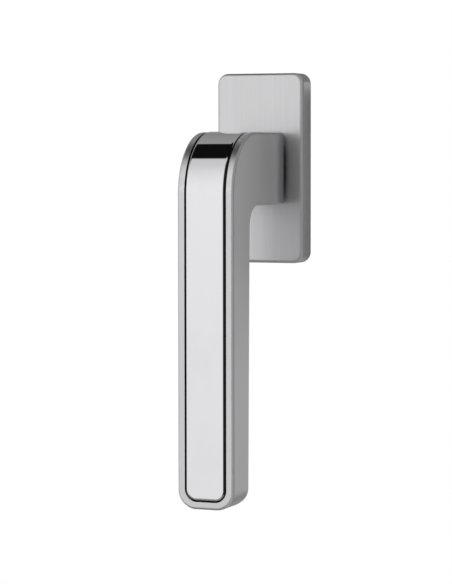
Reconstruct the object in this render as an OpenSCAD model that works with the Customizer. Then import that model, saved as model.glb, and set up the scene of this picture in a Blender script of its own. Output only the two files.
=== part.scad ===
// Tilt and turn window handle: a lever with a polished face strip, turning in a four-position
// detent rose that is screwed to the sash.
// X is across the handle, +Y goes into the sash, +Z is up. The origin is on the turning axis,
// in the mounting plane at the back of the rose.

/* [Rose] */
// Height of the rose cover
rose_h = 70; // [68:0.5:74]
// Width of the rose cover
rose_w = 34; // [34:0.5:38]
// Depth of the rose cover from the mounting plane to its front
rose_t = 8.6; // [8.6:0.1:10]
// Corner radius of the rose cover, seen from the front
rose_corner = 4; // [3:0.5:6]
// Thickness of the cover's front wall
cover_front = 1.2; // [1:0.1:1.2]
// Thickness of the cover's side walls
cover_side = 1.5; // [1.2:0.1:1.5]

/* [Lever] */
// Distance from the mounting plane to the front face of the grip
lever_reach = 60.8; // [56:0.2:66]
// Distance from the turning axis down to the end of the grip
lever_drop = 120.2; // [105:0.2:130]
// Width of the neck and the grip
lever_w = 21.4; // [20:0.1:24]
// Height of the neck
neck_h = 26.2; // [24:0.1:28]
// Thickness of the grip just below the neck
grip_top_t = 16.1; // [13:0.1:17]
// Thickness of the grip at its end
grip_end_t = 14.8; // [12:0.1:16]
// Radius of the outer bend
bend_r = 22; // [18:0.1:26]
// Radius of the fillet between the neck and the back of the grip
inner_r = 8; // [4:0.5:12]
// Rounding of the long edges
edge_r = 1; // [0.5:0.1:1.6]
// Corner radius at the end of the grip, seen from the front
end_r = 6.5; // [4:0.5:8]
// Radius at the lower back corner of the grip
heel_r = 3.5; // [2:0.5:6]
// Gap between the front of the rose and the neck
neck_gap = 3.2; // [3.2:0.1:5]

/* [Face strip] */
// Width of the polished strip
strip_w = 15.2; // [12:0.2:16]
// Clearance around the strip in its recess
strip_clear = 0.35; // [0.3:0.05:0.5]
// Depth of the recess below the lever's face
recess_t = 1.6; // [1.4:0.1:2]
// Height of the strip above the lever's face
strip_proud = 0.25; // [0.1:0.05:0.4]
// Thickness of the adhesive tape
tape_t = 0.2; // [0.1:0.05:0.3]
// Corner radius of the strip's ends
strip_end_r = 4; // [2:0.5:5]

/* [Fixing] */
// Distance between the fixing screws
fixing_pitch = 43; // [43:43:43]
// Side of the square spindle
spindle_side = 7; // [7:1:7]
// Length of the spindle behind the mounting plane
spindle_out = 32; // [25:1:33]
// Diameter of the locating spigots
spigot_d = 10; // [10:1:10]
// Length of the locating spigots
spigot_len = 9; // [7:0.5:10]
// Length of the fixing screws
screw_len = 35; // [30:5:35]

/* [Hidden] */
$fn = 96;
e = 0.01;

// Lever
neck_rear = rose_t + neck_gap;                       // neck's rear face is at y = -neck_rear
half_w = lever_w / 2;
half_neck = neck_h / 2;
bend_y = -lever_reach + bend_r;
bend_z = half_neck - bend_r;
grip_taper = atan((grip_top_t - grip_end_t) / (lever_drop - half_neck));
margin = half_w - strip_w / 2 - strip_clear;         // satin rim left beside the recess
pocket_w = strip_w + 2 * strip_clear;
pocket_end_z = -lever_drop + margin;
pocket_end_y = -neck_rear - margin;
strip_back = recess_t - tape_t;                      // depth of the strip's back below the face
peg_d = 3;
peg_len = 3;
peg_zs = [-28, -66, -104];

// Hub and its socket
hub_r = 6.5;
hub_flat = 5.6;
hub_back = 1;
socket_side = spindle_side + 0.1;
socket_y = -24.5;
spindle_in = 24;
grub_y = -18.5;
grub_r = 3;
grub_head_z = -half_neck + 1.5;

// Detent housing, as depths in front of the mounting plane
flange_t = 2.4;
boss_r = 14.5;
boss_front = 6.8;
cap_r = 14;
cap_t = 0.8;
cap_hole_r = 5.8;
cap_screw_z = 12.4;
chamber_r = 10.3;
chamber_front = 4.95;
bush_r = 7.8;
bush_flange_r = 9.6;
bush_flange_t = 0.7;
run_clear = 0.05;
cam_half = 7.5;
cam_corner = 1.5;
cam_back = 2.9;
cam_front = 4.5;
spring_t = 0.6;
spring_half = 8.2;
spring_x = cam_half + 0.03;
ledge_x = 8.15;
pocket_x = 11;
clip_front = 2.2;
clip_back = 1.4;

// Base plate ends
plate_w = 29.6;
plate_h = 62;
plate_corner = 3;
pad_r = 6.2;
pad_front = 2.8;
screw_z = fixing_pitch / 2;
screw_hole_r = 2.65;
sink_r = 4.8;
screw_r = 2.45;
shank_r = 2.2;                                       // plain shank inside the plate
thread_gap = 0.3;                                    // thread starts this far past the spigot
screw_head_r = 4.6;
screw_top = pad_front - 0.1;
sink_t = sink_r - screw_hole_r;

// Cover
cover_in_w = rose_w - 2 * cover_side;
cover_in_h = rose_h - 2 * cover_side;
cover_in_front = rose_t - cover_front;
cover_hole_r = 9.4;
ring_r = 9;
liner_web = 0.5;
liner_clear = 0.05;
leg_half_w = 5.5;
leg_in = cover_in_h / 2 - 1.5;
clip_half_w = 4;
clip_t = 0.5;

// Colours
satin = [0.66, 0.67, 0.68];
polished = [0.86, 0.87, 0.89];
steel = [0.55, 0.56, 0.58];
zamak = [0.5, 0.51, 0.53];
nylon = [0.08, 0.08, 0.09];
acetal = [0.9, 0.89, 0.85];
foam = [0.2, 0.2, 0.22];

// ---- shared shapes -------------------------------------------------------

// Carries a flat shape drawn in (Y, Z) over the width w, centred on X = 0
module across(w) { translate([-w / 2, 0, 0]) rotate([90, 0, 90]) linear_extrude(w) children(); }

// Carries a flat shape drawn in (X, Z) from depth y0 back to depth y1, both in front of the wall
module forward(y0, y1) { translate([0, -y0, 0]) rotate([90, 0, 0]) linear_extrude(y1 - y0) children(); }

module disc(r, y0, y1) { forward(y0, y1) circle(r); }

module ring(r_out, r_in, y0, y1) {
    difference() {
        disc(r_out, y0, y1);
        disc(r_in, y0 - 1, y1 + 1);
    }
}

module rounded(w, h, r) {
    union() {
        square([w - 2 * r, h], center = true);
        square([w, h - 2 * r], center = true);
        for (sx = [-1, 1], sz = [-1, 1]) translate([sx * (w / 2 - r), sz * (h / 2 - r)]) circle(r);
    }
}

// What a rounding of radius r takes off a corner whose solid is in the first quadrant
module corner_waste(r) {
    difference() {
        translate([-1, -1]) square(r + 1);
        translate([r, r]) circle(r);
    }
}

// A tongue from z0 up to z1 with both corners rounded at its lower end
module tongue(w, z0, z1, r) {
    translate([-w / 2 + r, z0]) square([w - 2 * r, z1 - z0]);
    translate([-w / 2, z0 + r]) square([w, z1 - z0 - r]);
    for (s = [-1, 1]) translate([s * (w / 2 - r), z0 + r]) circle(r);
}

// Turns a quarter sweep so that it runs from the front of the grip up to the top of the neck
module about_bend() { translate([0, bend_y, bend_z]) rotate([0, -90, 0]) rotate([0, 0, -90]) children(); }

// The quarter band of the bend between two radii, w wide
module bend_band(r_in, r_out, w) {
    about_bend() rotate_extrude(angle = 90) translate([r_in, -w / 2]) square([r_out - r_in, w]);
}

// A layer along the lever's face, from depth "top" above the face to depth "bottom" below it
module face_layer(w, top, bottom, r, inset) {
    forward(lever_reach - bottom, lever_reach + top)
        tongue(w, pocket_end_z + inset, bend_z, r);
    bend_band(bend_r - bottom, bend_r + top, w);
    translate([0, 0, half_neck - bottom]) linear_extrude(top + bottom)
        rotate(180) tongue(w, -(pocket_end_y - inset), -bend_y, r);
}

// ---- turning lever -------------------------------------------------------

module lever_side() {
    difference() {
        union() {
            polygon([
                [-lever_reach, half_neck], [-lever_reach, -lever_drop],
                [-lever_reach + grip_end_t, -lever_drop], [-lever_reach + grip_top_t, -half_neck],
                [-neck_rear, -half_neck], [-neck_rear, half_neck]]);
            difference() {
                translate([-lever_reach + grip_top_t - 0.5, -half_neck - inner_r])
                    square(inner_r + 0.5);
                translate([-lever_reach + grip_top_t + inner_r, -half_neck - inner_r]) circle(inner_r);
            }
        }
        translate([bend_y, bend_z]) mirror([1, 0]) difference() {
            square(bend_r + 1);
            circle(bend_r);
        }
        translate([-lever_reach + grip_end_t, -lever_drop]) mirror([1, 0]) corner_waste(heel_r);
    }
}

module lever_edges() {
    for (s = [0, 1]) mirror([s, 0, 0]) {
        // front edges of the grip
        translate([-half_w, -lever_reach, -lever_drop - 1]) linear_extrude(lever_drop + 1 + bend_z)
            corner_waste(edge_r);
        // bend
        about_bend() rotate_extrude(angle = 90)
            translate([bend_r, -half_w]) mirror([1, 0]) corner_waste(edge_r);
        // upper edges of the neck
        translate([-half_w, bend_y, half_neck]) rotate([-90, 0, 0])
            linear_extrude(bend_r + lever_reach) corner_waste(edge_r);
        // back edges of the grip
        translate([-half_w, -lever_reach + grip_end_t, -lever_drop]) rotate([-grip_taper, 0, 0])
            translate([0, 0, -1]) linear_extrude(lever_drop - half_neck - inner_r + 1)
            mirror([0, 1]) corner_waste(edge_r);
        // lower corners of the end, seen from the front
        forward(lever_reach - 30, lever_reach + 1) translate([-half_w, -lever_drop])
            corner_waste(end_r);
    }
}

module hub() {
    difference() {
        disc(hub_r, hub_back, neck_rear + e);
        for (s = [-1, 1]) translate([s * (hub_flat + 2), -(hub_back + cam_front) / 2, 0])
            cube([4, cam_front + run_clear - hub_back + 2 * e, 2 * hub_r + 2], center = true);
        difference() {
            disc(hub_r + 1, clip_back - run_clear, clip_front + run_clear);
            disc(hub_r - 0.6, 0, cam_front);
        }
    }
}

module lever_body() {
    color(satin) difference() {
        union() {
            difference() {
                across(lever_w) lever_side();
                lever_edges();
            }
            hub();
        }
        face_layer(pocket_w, 1, recess_t, strip_end_r + strip_clear, 0);
        // spindle socket
        translate([-socket_side / 2, socket_y, -socket_side / 2])
            cube([socket_side, -socket_y, socket_side]);
        // grub screw hole
        translate([0, grub_y, -half_neck - 1]) cylinder(r = grub_r, h = half_neck);
        // blind holes for the strip's pegs
        for (z = peg_zs) translate([0, 0, z])
            disc(peg_d / 2 + run_clear, lever_reach - recess_t - peg_len, lever_reach - recess_t + e);
    }
}

module face_strip() {
    color(polished) union() {
        face_layer(strip_w, strip_proud, strip_back, strip_end_r, strip_clear);
        for (z = peg_zs) translate([0, 0, z])
            disc(peg_d / 2, lever_reach - recess_t - peg_len + 0.3, lever_reach - strip_back + e);
    }
}

module strip_tape() {
    tape_w = strip_w - 3;
    color(foam) difference() {
        forward(lever_reach - recess_t, lever_reach - strip_back)
            tongue(tape_w, pocket_end_z + 2, bend_z - 1, 2);
        for (z = peg_zs) translate([0, 0, z])
            disc(peg_d / 2 + 0.5, lever_reach - recess_t - 1, lever_reach);
    }
}

module spindle() {
    chamfer = 0.6;
    s = spindle_side;
    color(steel) translate([0, spindle_out, 0]) rotate([90, 0, 0])
        linear_extrude(spindle_out + spindle_in)
        polygon([for (q = [0:3], p = [[s / 2, s / 2 - chamfer], [s / 2 - chamfer, s / 2]])
            [p[0] * cos(90 * q) - p[1] * sin(90 * q), p[0] * sin(90 * q) + p[1] * cos(90 * q)]]);
}

module grub_screw() {
    length = -grub_head_z - spindle_side / 2;
    color(steel) translate([0, grub_y, grub_head_z]) difference() {
        cylinder(r = grub_r - run_clear, h = length - run_clear);
        translate([0, 0, -e]) cylinder(r = 1.73, h = 3, $fn = 6);
    }
}

module neck_ring() { color(nylon) ring(ring_r, hub_r + run_clear / 2, boss_front + 0.1, neck_rear); }

module thrust_washer() {
    color(polished) ring(chamber_r - 0.8, hub_r + run_clear, cam_front, chamber_front - run_clear);
}

module hub_section(extra) {
    intersection() {
        circle(hub_r + extra);
        square([2 * (hub_flat + extra), 2 * hub_r + 2], center = true);
    }
}

module detent_cam() {
    color(steel) forward(cam_back, cam_front) difference() {
        rounded(2 * cam_half, 2 * cam_half, cam_corner);
        hub_section(0.02);
    }
}

// Spring washer with three waves, made of rings of points swept round the axis
module wave_washer() {
    r_in = hub_r + 0.1;
    r_out = 9;
    half_t = 0.12;
    wave = 0.2;
    mid = (clip_front + cam_back) / 2;
    steps = 72;
    ring_points = [for (i = [0:steps - 1], q = [[r_in, -1], [r_out, -1], [r_out, 1], [r_in, 1]])
        let (a = 360 * i / steps)
        [q[0] * cos(a), -(mid + wave * sin(3 * a) + q[1] * half_t), q[0] * sin(a)]];
    sides = [for (i = [0:steps - 1], k = [0:3])
        let (j = (i + 1) % steps, m = (k + 1) % 4) [4 * i + k, 4 * j + k, 4 * j + m, 4 * i + m]];
    color(steel) polyhedron(ring_points, sides, convexity = 4);
}

module circlip() {
    lug_r = 1.5;
    lug_at = 8.2;
    color(steel) forward(clip_back, clip_front) difference() {
        union() {
            difference() {
                circle(8.1);
                circle(hub_r - 0.6 + run_clear);
                polygon([[0, 0], [-5, -20], [5, -20]]);
            }
            for (s = [-1, 1]) rotate(s * 22) translate([0, -lug_at]) circle(lug_r);
        }
        for (s = [-1, 1]) rotate(s * 22) translate([0, -lug_at]) circle(0.5, $fn = 24);
        circle(hub_r - 0.6 + run_clear);
    }
}

// ---- fixed rose ----------------------------------------------------------

module base_plate() {
    color(zamak) difference() {
        union() {
            forward(0, flange_t) rounded(plate_w, plate_h, plate_corner);
            disc(boss_r, 0, boss_front);
            for (s = [-1, 1]) translate([0, 0, s * screw_z]) {
                disc(pad_r, 0, pad_front);
                disc(spigot_d / 2, -spigot_len, e);
            }
        }
        // detent chamber, open at the back
        disc(cap_r + 0.02, -1, cap_t);
        disc(chamber_r, 0, chamber_front);
        forward(0, chamber_front) {
            square([2 * ledge_x, 2 * spring_half + 0.2], center = true);
            square([2 * pocket_x, 10], center = true);
        }
        // bush seat
        disc(bush_r, chamber_front - 1, boss_front + 1);
        disc(bush_flange_r, boss_front - bush_flange_t, boss_front + 1);
        // cap screw holes
        for (s = [-1, 1]) translate([0, 0, s * cap_screw_z]) disc(1, 0, 4);
        // countersunk fixing holes
        for (s = [-1, 1]) translate([0, 0, s * screw_z]) {
            disc(screw_hole_r, -spigot_len - 1, pad_front + 1);
            rotate([90, 0, 0]) translate([0, 0, pad_front - sink_t])
                cylinder(r1 = screw_hole_r, r2 = sink_r + 0.1, h = sink_t + 0.1);
        }
    }
}

module neck_bush() {
    color(acetal) difference() {
        union() {
            disc(bush_r, chamber_front, boss_front);
            disc(bush_flange_r, boss_front - bush_flange_t, boss_front);
        }
        disc(hub_r + run_clear, 0, 20);
    }
}

module detent_spring() {
    color(polished) translate([spring_x, -cam_front, -spring_half])
        cube([spring_t, cam_front - cam_back, 2 * spring_half]);
}

module detent_spring_right() { detent_spring(); }

module detent_spring_left() { mirror([1, 0, 0]) detent_spring(); }

module housing_cap() {
    color(steel) difference() {
        disc(cap_r, 0, cap_t);
        disc(cap_hole_r, -1, 2);
        for (s = [-1, 1]) translate([0, 0, s * cap_screw_z])
            rotate([90, 0, 0]) translate([0, 0, -e]) cylinder(r1 = 1.75, r2 = 1.05, h = cap_t + 2 * e);
    }
}

module cap_screws() {
    color(polished) for (s = [-1, 1]) translate([0, 0, s * cap_screw_z]) rotate([90, 0, 0])
        difference() {
            union() {
                cylinder(r1 = 1.7, r2 = 1, h = cap_t);
                cylinder(r = 1, h = 3.8);
            }
            translate([-1.3, -0.2, -e]) cube([2.6, 0.4, 0.4]);
        }
}

module cover_clip() {
    bend = plate_h / 2 + 0.3;
    tab = bend - 3.2;
    color(polished) across(2 * clip_half_w) polygon([
        [-flange_t, tab], [-flange_t, bend], [-0.5, bend], [-0.5, bend + clip_t],
        [-flange_t - clip_t, bend + clip_t], [-flange_t - clip_t, tab]]);
}

module cover_clip_upper() { cover_clip(); }

module cover_clip_lower() { mirror([0, 0, 1]) cover_clip(); }

module fixing_screws() {
    recess_r = 1.75;
    color(steel) for (s = [-1, 1]) translate([0, -screw_top, s * screw_z]) rotate([-90, 0, 0])
        difference() {
            union() {
                cylinder(r1 = screw_head_r, r2 = shank_r, h = screw_head_r - shank_r);
                cylinder(r = shank_r, h = screw_len);
                translate([0, 0, screw_top + spigot_len + thread_gap])
                    cylinder(r = screw_r, h = screw_len - screw_top - spigot_len - thread_gap);
            }
            translate([0, 0, -e]) cylinder(r = recess_r, h = 2.2, $fn = 6);
        }
}

module rose_cover() {
    color(satin) difference() {
        forward(0, rose_t) rounded(rose_w, rose_h, rose_corner);
        forward(-1, cover_in_front) rounded(cover_in_w, cover_in_h, rose_corner - cover_side);
        disc(cover_hole_r, 0, rose_t + 1);
    }
}

module cover_liner() {
    liner_w = cover_in_w - 2 * liner_clear;
    liner_h = cover_in_h - 2 * liner_clear;
    block_h = 14;
    web_back = cover_in_front - liner_web;
    color(nylon) difference() {
        union() {
            forward(web_back, cover_in_front) rounded(liner_w, liner_h, rose_corner - cover_side);
            intersection() {
                forward(4.2, cover_in_front) rounded(liner_w, liner_h, rose_corner - cover_side);
                for (s = [-1, 1]) translate([0, -6, s * (liner_h / 2 - block_h / 2)])
                    cube([liner_w, 10, block_h], center = true);
            }
            for (s = [-1, 1]) translate([0, -(cover_in_front + 0.8) / 2, s * (liner_h / 2 + leg_in) / 2])
                cube([2 * leg_half_w, cover_in_front - 0.8, liner_h / 2 - leg_in], center = true);
        }
        disc(ring_r + 0.6, 0, rose_t);
        // relief over the screw heads
        for (s = [-1, 1]) translate([0, 0, s * screw_z]) disc(6.5, 4, web_back);
    }
}

base_plate();
neck_bush();
detent_spring_left();
detent_spring_right();
housing_cap();
cap_screws();
cover_clip_upper();
cover_clip_lower();
fixing_screws();
rose_cover();
cover_liner();
lever_body();
face_strip();
strip_tape();
spindle();
grub_screw();
neck_ring();
thrust_washer();
detent_cam();
wave_washer();
circlip();
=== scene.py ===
"""Tilt and turn window handle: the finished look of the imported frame.

The lever's casting, the polished strip, the rose's cover and the fixing screws are built here as
meshes in the frame's own coordinates, in metres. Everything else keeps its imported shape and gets
its finish here.
"""
import logging
import math
from dataclasses import dataclass, field
from enum import Enum
from typing import Callable, Iterable, Sequence

import bmesh
import bpy
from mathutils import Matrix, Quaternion, Vector

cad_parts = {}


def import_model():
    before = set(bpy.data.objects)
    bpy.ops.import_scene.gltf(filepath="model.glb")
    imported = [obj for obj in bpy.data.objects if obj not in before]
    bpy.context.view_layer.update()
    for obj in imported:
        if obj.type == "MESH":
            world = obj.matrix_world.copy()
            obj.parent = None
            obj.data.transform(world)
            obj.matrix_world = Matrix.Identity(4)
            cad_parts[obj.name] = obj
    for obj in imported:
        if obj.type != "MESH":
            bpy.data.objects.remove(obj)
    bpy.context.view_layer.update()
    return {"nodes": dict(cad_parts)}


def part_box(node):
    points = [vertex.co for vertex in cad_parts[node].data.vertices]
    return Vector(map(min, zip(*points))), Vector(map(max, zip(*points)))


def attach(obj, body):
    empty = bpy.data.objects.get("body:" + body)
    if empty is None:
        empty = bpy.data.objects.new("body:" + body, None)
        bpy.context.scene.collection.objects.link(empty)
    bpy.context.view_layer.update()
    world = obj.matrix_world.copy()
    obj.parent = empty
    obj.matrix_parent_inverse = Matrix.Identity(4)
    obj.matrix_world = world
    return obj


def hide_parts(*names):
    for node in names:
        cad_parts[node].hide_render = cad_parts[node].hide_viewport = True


LOG = logging.getLogger("window_handle")

MM = 0.001
WELD = 0.0004 * MM  # points nearer than this are one point
SHARP = math.radians(40.0)  # an edge that turns by more than this is sharp

Point2 = tuple[float, float]
Point3 = tuple[float, float, float]
Nodes = dict[str, bpy.types.Object]


class Body(Enum):
    """Rigid bodies of the frame that a piece can ride on."""

    BASE = "rose_base"
    SHELL = "rose_shell"
    LEVER = "lever"


class Slot(Enum):
    """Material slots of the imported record."""

    SATIN = "satin_chrome"
    POLISHED = "polished_chrome"
    CAST = "die_cast"
    PLATED = "zinc_plated_steel"
    SPRING = "spring_steel"
    NYLON = "black_nylon"
    ACETAL = "white_acetal"
    FOAM = "foam_tape"


class Op(Enum):
    """What a Math node works out."""

    ADD = "ADD"
    SUBTRACT = "SUBTRACT"
    MULTIPLY = "MULTIPLY"
    DIVIDE = "DIVIDE"
    POWER = "POWER"
    LARGER = "MAXIMUM"
    SIZE = "ABSOLUTE"
    ANGLE = "ARCTAN2"


class Axis(Enum):
    """The axis that a straight solid runs along."""

    X = "X"
    Y = "Y"
    Z = "Z"


class Cut(Enum):
    """What a tool does to the object that it is used on."""

    REMOVE = "DIFFERENCE"
    TRIM = "INTERSECT"
    JOIN = "UNION"


# ---------------------------------------------------------------------------------------------
# Shader graphs
# ---------------------------------------------------------------------------------------------


@dataclass
class Graph:
    """A thin hand for laying out shader nodes.

    Args:
        tree: the node tree that new nodes go into.
    """

    tree: bpy.types.NodeTree

    def add(self, kind: str, **settings: object) -> bpy.types.Node:
        """Adds a node and sets its properties.

        Args:
            kind: the node's type name.
            settings: property names and values of the node.

        Returns:
            The new node.
        """
        node = self.tree.nodes.new(kind)
        for name, value in settings.items():
            setattr(node, name, value)
        return node

    def link(self, source: bpy.types.NodeSocket, target: bpy.types.NodeSocket) -> None:
        """Joins an output socket to an input socket."""
        self.tree.links.new(source, target)

    def feed(self, target: bpy.types.NodeSocket, value: object) -> None:
        """Gives an input socket a link or a plain value.

        Args:
            target: the socket to feed.
            value: an output socket, a number or a tuple.
        """
        if isinstance(value, bpy.types.NodeSocket):
            self.link(value, target)
        else:
            target.default_value = value

    def math(self, operation: Op, *values: object, clamp: bool = False) -> bpy.types.NodeSocket:
        """Adds a Math node.

        Args:
            operation: what it works out.
            values: sockets or numbers for its inputs, in order.
            clamp: whether the result is held between 0 and 1.

        Returns:
            The node's output.
        """
        node = self.add("ShaderNodeMath", operation=operation.value, use_clamp=clamp)
        for socket, value in zip(node.inputs, values):
            self.feed(socket, value)
        return node.outputs[0]

    def spread(self, value: object, contrast: object) -> bpy.types.NodeSocket:
        """Spreads a pattern to both sides of its middle, 0.5, and holds it between 0 and 1."""
        swing = self.math(Op.MULTIPLY, self.math(Op.SUBTRACT, value, 0.5), contrast)
        return self.math(Op.ADD, swing, 0.5, clamp=True)

    def remap(
        self, value: object, low: float, high: float, to_low: float = 0.0, to_high: float = 1.0
    ) -> bpy.types.NodeSocket:
        """Adds a smooth Map Range node.

        Args:
            value: the socket to remap.
            low: the input that gives to_low.
            high: the input that gives to_high.
            to_low: the result at low and beyond it.
            to_high: the result at high and beyond it.

        Returns:
            The node's output.
        """
        node = self.add("ShaderNodeMapRange", interpolation_type="SMOOTHSTEP")
        ends = {"From Min": low, "From Max": high, "To Min": to_low, "To Max": to_high}
        for name, number in ends.items():
            node.inputs[name].default_value = number
        self.feed(node.inputs["Value"], value)
        return node.outputs["Result"]

    def _mix(
        self, data_type: str, kind: str, factor: object, first: object, second: object
    ) -> bpy.types.NodeSocket:
        """Adds a Mix node.

        Args:
            data_type: the node's data type.
            kind: how the names of its sockets end for that type.
            factor: share of the second value.
            first: the value at 0.
            second: the value at 1.

        Returns:
            The node's output.
        """
        node = self.add("ShaderNodeMix", data_type=data_type)
        sockets = {socket.identifier: socket for socket in (*node.inputs, *node.outputs)}
        self.feed(sockets["Factor_Float"], factor)
        self.feed(sockets[f"A_{kind}"], first)
        self.feed(sockets[f"B_{kind}"], second)
        return sockets[f"Result_{kind}"]

    def mix(self, factor: object, first: object, second: object) -> bpy.types.NodeSocket:
        """Adds a Mix node for numbers and returns its output."""
        return self._mix("FLOAT", "Float", factor, first, second)

    def mix_color(self, factor: object, first: Point3, second: Point3) -> bpy.types.NodeSocket:
        """Adds a Mix node for two opaque colours and returns its output."""
        return self._mix("RGBA", "Color", factor, (*first, 1.0), (*second, 1.0))

    def curve(self, value: object, points: Sequence[Point2]) -> bpy.types.NodeSocket:
        """Adds a colour ramp read as a number.

        Args:
            value: the socket that runs from 0 to 1.
            points: positions and grey values, in order.

        Returns:
            The ramp's colour output.
        """
        ramp = self.add("ShaderNodeValToRGB")
        ramp.color_ramp.interpolation = "LINEAR"
        stops = ramp.color_ramp.elements
        while len(stops) < len(points):
            stops.new(0.5)
        for stop, (place, grey) in zip(stops, points):
            stop.position = place
            stop.color = (grey, grey, grey, 1.0)
        self.feed(ramp.inputs["Fac"], value)
        return ramp.outputs["Color"]

    def noise(
        self,
        scale: float,
        detail: float,
        stretch: Point3 = (1.0, 1.0, 1.0),
        roughness: float = 0.5,
    ) -> bpy.types.NodeSocket:
        """Adds a Noise Texture in the object's own coordinates.

        Args:
            scale: how fine the pattern is, per metre.
            detail: how many finer layers lie in it.
            stretch: share of the scale along each axis; a small share draws the pattern out.
            roughness: how strong the finer layers are.

        Returns:
            The node's value output.
        """
        place = self.add("ShaderNodeTexCoord")
        mapping = self.add("ShaderNodeMapping")
        mapping.inputs["Scale"].default_value = stretch
        self.link(place.outputs["Object"], mapping.inputs["Vector"])
        node = self.add("ShaderNodeTexNoise")
        self.link(mapping.outputs["Vector"], node.inputs["Vector"])
        node.inputs["Scale"].default_value = scale
        node.inputs["Detail"].default_value = detail
        node.inputs["Roughness"].default_value = roughness
        return node.outputs["Fac"]


class SharedEffects:
    """Effects that several finishes use, each built once as a node group."""

    def __init__(self) -> None:
        """Builds the groups."""
        self.grain = self._group(
            "brushed_grain", {"Contrast": 0.5}, ("Lines", "Height"), self._lay_grain
        )
        self.handling = self._group(
            "handling_marks", {"Amount": 0.5}, ("Smudge", "Dust"), self._lay_handling
        )
        self.edge = self._group("edge_wear", {"Strength": 1.0}, ("Edge", "Turn"), self._lay_edge)
        self.cast = self._group("cast_skin", {"Contrast": 0.5}, ("Tone", "Height"), self._lay_cast)

    @staticmethod
    def _group(
        name: str,
        inputs: dict[str, float],
        outputs: tuple[str, ...],
        lay: Callable[[Graph, bpy.types.Node, bpy.types.Node], None],
    ) -> bpy.types.NodeTree:
        """Makes a node group with named sockets.

        Args:
            name: the group's name.
            inputs: input names and default values.
            outputs: output names.
            lay: lays out the nodes between the group's two ends.

        Returns:
            The node group.
        """
        tree = bpy.data.node_groups.new(name, "ShaderNodeTree")
        kind = "NodeSocketFloat"
        for label, value in inputs.items():
            socket = tree.interface.new_socket(name=label, in_out="INPUT", socket_type=kind)
            socket.default_value = value
        for label in outputs:
            tree.interface.new_socket(name=label, in_out="OUTPUT", socket_type=kind)
        graph = Graph(tree)
        lay(graph, graph.add("NodeGroupInput"), graph.add("NodeGroupOutput"))
        return tree

    @staticmethod
    def _lay_grain(graph: Graph, start: bpy.types.Node, end: bpy.types.Node) -> None:
        """Lays out upright brush lines in three widths.

        Args:
            graph: the group's graph.
            start: holds the group's inputs.
            end: takes the group's outputs.
        """
        contrast = start.outputs["Contrast"]
        broad = graph.noise(scale=700.0, detail=2.0, stretch=(1.0, 1.0, 0.02))
        middle = graph.noise(scale=2200.0, detail=3.0, stretch=(1.0, 1.0, 0.03))
        fine = graph.noise(scale=9000.0, detail=2.0, stretch=(1.0, 1.0, 0.012))
        lines = graph.math(Op.MULTIPLY, broad, 0.45)
        for pattern, share in ((middle, 0.35), (fine, 0.2)):
            lines = graph.math(Op.ADD, lines, graph.math(Op.MULTIPLY, pattern, share))
        graph.link(graph.spread(lines, contrast), end.inputs["Lines"])
        graph.link(graph.math(Op.MULTIPLY, fine, contrast), end.inputs["Height"])

    @staticmethod
    def _lay_handling(graph: Graph, start: bpy.types.Node, end: bpy.types.Node) -> None:
        """Lays out soft finger smudges and specks of dust.

        Args:
            graph: the group's graph.
            start: holds the group's inputs.
            end: takes the group's outputs.
        """
        amount = start.outputs["Amount"]
        touched = graph.noise(scale=55.0, detail=4.0, stretch=(1.0, 1.0, 0.6), roughness=0.6)
        smudge = graph.remap(touched, 0.45, 0.75)
        graph.link(graph.math(Op.MULTIPLY, smudge, amount), end.inputs["Smudge"])
        specks = graph.noise(scale=2400.0, detail=1.0)
        dust = graph.remap(specks, 0.74, 0.82)
        graph.link(graph.math(Op.MULTIPLY, dust, amount), end.inputs["Dust"])

    @staticmethod
    def _lay_edge(graph: Graph, start: bpy.types.Node, end: bpy.types.Node) -> None:
        """Lays out a mask of worn edges, and one of where an upright edge rounds over.

        Args:
            graph: the group's graph.
            start: holds the group's inputs.
            end: takes the group's outputs.
        """
        geometry = graph.add("ShaderNodeNewGeometry")
        crest = graph.remap(geometry.outputs["Pointiness"], 0.52, 0.62)
        broken = graph.noise(scale=400.0, detail=3.0)
        worn = graph.math(Op.MULTIPLY, crest, graph.remap(broken, 0.3, 0.6, to_low=0.4))
        graph.link(graph.math(Op.MULTIPLY, worn, start.outputs["Strength"]), end.inputs["Edge"])
        facing = graph.add("ShaderNodeSeparateXYZ")
        graph.link(graph.add("ShaderNodeTexCoord").outputs["Normal"], facing.inputs["Vector"])
        across = graph.math(Op.POWER, graph.math(Op.SIZE, facing.outputs["X"]), 2.0)
        rest = graph.math(Op.SUBTRACT, 1.0, across)
        # across times rest is at most a quarter, halfway round the edge
        turn = graph.math(Op.MULTIPLY, graph.math(Op.MULTIPLY, across, rest), 4.0)
        graph.link(turn, end.inputs["Turn"])

    @staticmethod
    def _lay_cast(graph: Graph, start: bpy.types.Node, end: bpy.types.Node) -> None:
        """Lays out the mottled, lightly pitted skin of a casting or moulding.

        Args:
            graph: the group's graph.
            start: holds the group's inputs.
            end: takes the group's outputs.
        """
        contrast = start.outputs["Contrast"]
        mottle = graph.noise(scale=260.0, detail=5.0, roughness=0.65)
        pits = graph.noise(scale=3200.0, detail=2.0)
        graph.link(graph.spread(mottle, contrast), end.inputs["Tone"])
        graph.link(graph.math(Op.MULTIPLY, pits, contrast), end.inputs["Height"])


@dataclass(frozen=True)
class Maps:
    """Maps that drive a finish.

    Args:
        tone: where the base colour lies between dark and light.
        gloss: where the roughness lies between smooth and rough.
        height: height for the bump.
        scatter: share that scatters light instead of mirroring it, if it varies.
    """

    tone: bpy.types.NodeSocket
    gloss: bpy.types.NodeSocket
    height: bpy.types.NodeSocket
    scatter: bpy.types.NodeSocket | None = None


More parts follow.
